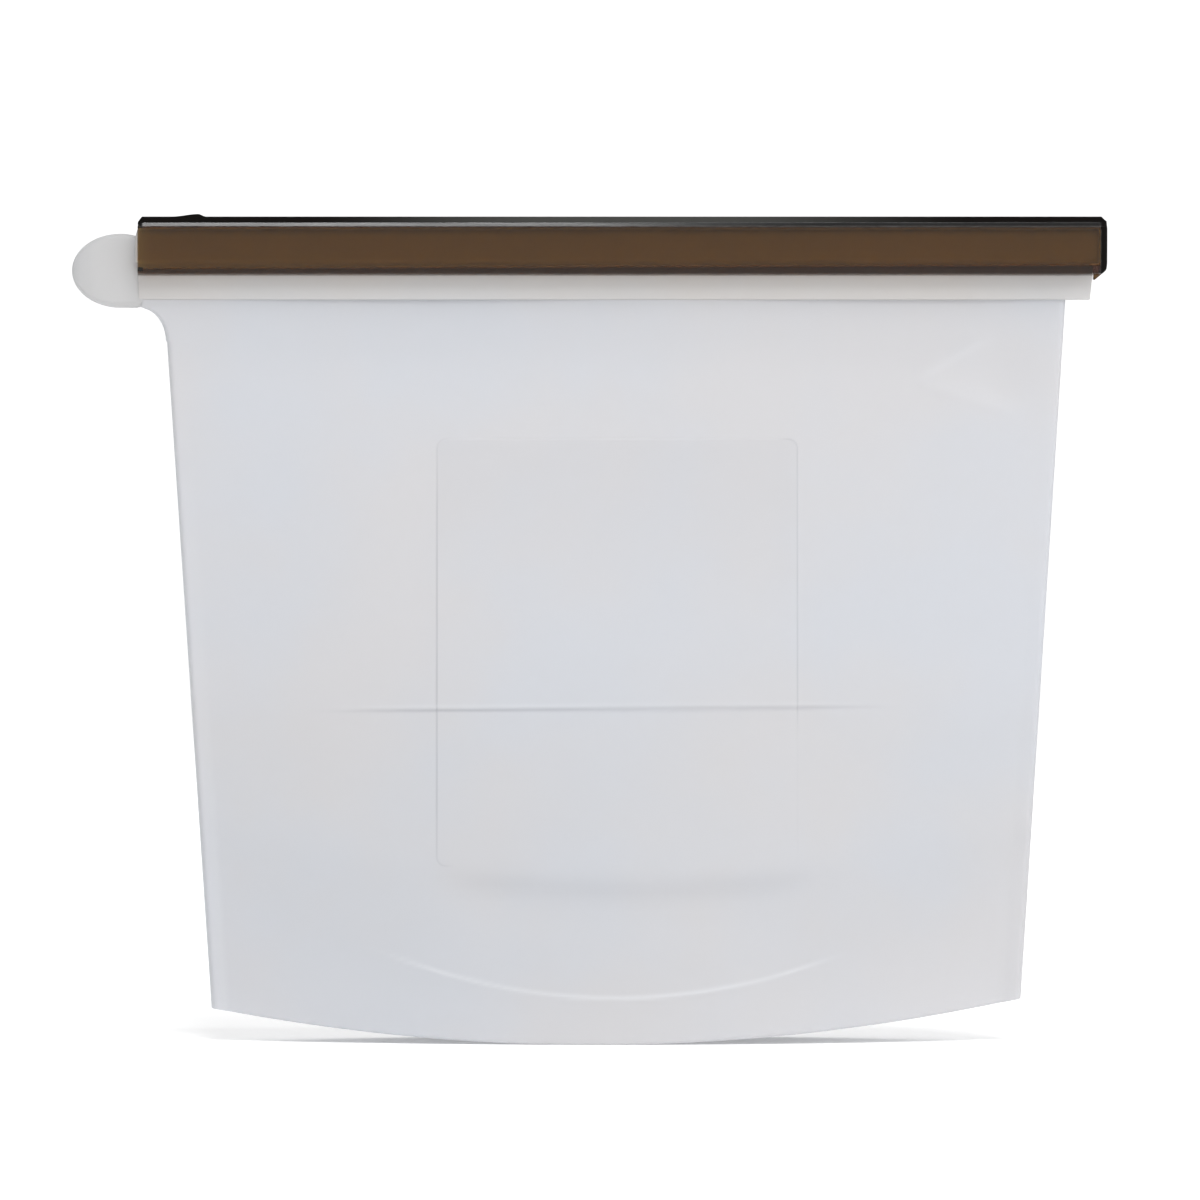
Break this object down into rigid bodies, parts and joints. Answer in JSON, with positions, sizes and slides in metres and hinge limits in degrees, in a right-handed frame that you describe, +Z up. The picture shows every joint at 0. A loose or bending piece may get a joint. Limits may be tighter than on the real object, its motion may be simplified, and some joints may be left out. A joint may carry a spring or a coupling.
{
  "type": "reusable silicone bag",
  "caption": "Stand-up silicone pouch with a folded base gusset, a pull tab, and a slide-on channel bar that clamps the mouth shut.",
  "frame": {"origin": "middle of the bounding box's bottom face, on the surface the bag stands on", "axes": "+X from the pull tab to the bar's closed end, -Y out of the front, +Z up"},
  "size_m": [0.1812, 0.024, 0.1449],
  "materials": {
    "silicone": "milky translucent, satin",
    "smoked_plastic": "smoky brown translucent, glossy"
  },
  "bodies": {
    "bag": {"front_lip": "silicone", "back_lip": "silicone", "left_seam": "silicone", "right_seam": "silicone"},
    "closure_bar": {"slide_bar": "smoked_plastic", "bar_end_stop": "smoked_plastic"},
    "tab": {"pull_tab": "silicone"},
    "front_panel": {"front_wall": "silicone", "front_foot": "silicone"},
    "back_panel": {"back_wall": "silicone", "back_foot": "silicone"},
    "front_leaf": {"gusset_front": "silicone"},
    "back_leaf": {"gusset_back": "silicone"}
  },
  "joints": [
    {"name": "bar_slide", "type": "slide", "parent": "bag", "child": "closure_bar", "axis": [1, 0, 0], "range_m": [0, 0.175]},
    {"name": "tab_bend", "type": "hinge", "parent": "bag", "child": "tab", "pos_m": [-0.08095, 0, 0.135], "axis": [0, 0, 1], "range_deg": [-75, 75], "stiffness_Nm_per_rad": 0.02},
    {"name": "base_open", "type": "hinge", "parent": "bag", "child": "front_panel", "pos_m": [0, -0.00095, 0.1296], "axis": [-1, 0, 0], "range_deg": [0, 9], "stiffness_Nm_per_rad": 1},
    {"name": "back_base_open", "type": "hinge", "parent": "bag", "child": "back_panel", "pos_m": [0, 0.00095, 0.1296], "axis": [1, 0, 0], "range_deg": [0, 9.5]},
    {"name": "front_gusset_unfold", "type": "hinge", "parent": "front_panel", "child": "front_leaf", "pos_m": [0.0045, -0.00948, 0.0092], "axis": [-1, 0, 0], "range_deg": [0, 15]},
    {"name": "back_gusset_unfold", "type": "hinge", "parent": "back_panel", "child": "back_leaf", "pos_m": [0.0045, 0.00948, 0.0092], "axis": [1, 0, 0], "range_deg": [0, 15]}
  ],
  "couplings": [
    {"joint": "back_base_open", "follows": "base_open", "ratio": 1},
    {"joint": "front_gusset_unfold", "follows": "base_open", "ratio": 1.53},
    {"joint": "back_gusset_unfold", "follows": "base_open", "ratio": 1.53}
  ]
}
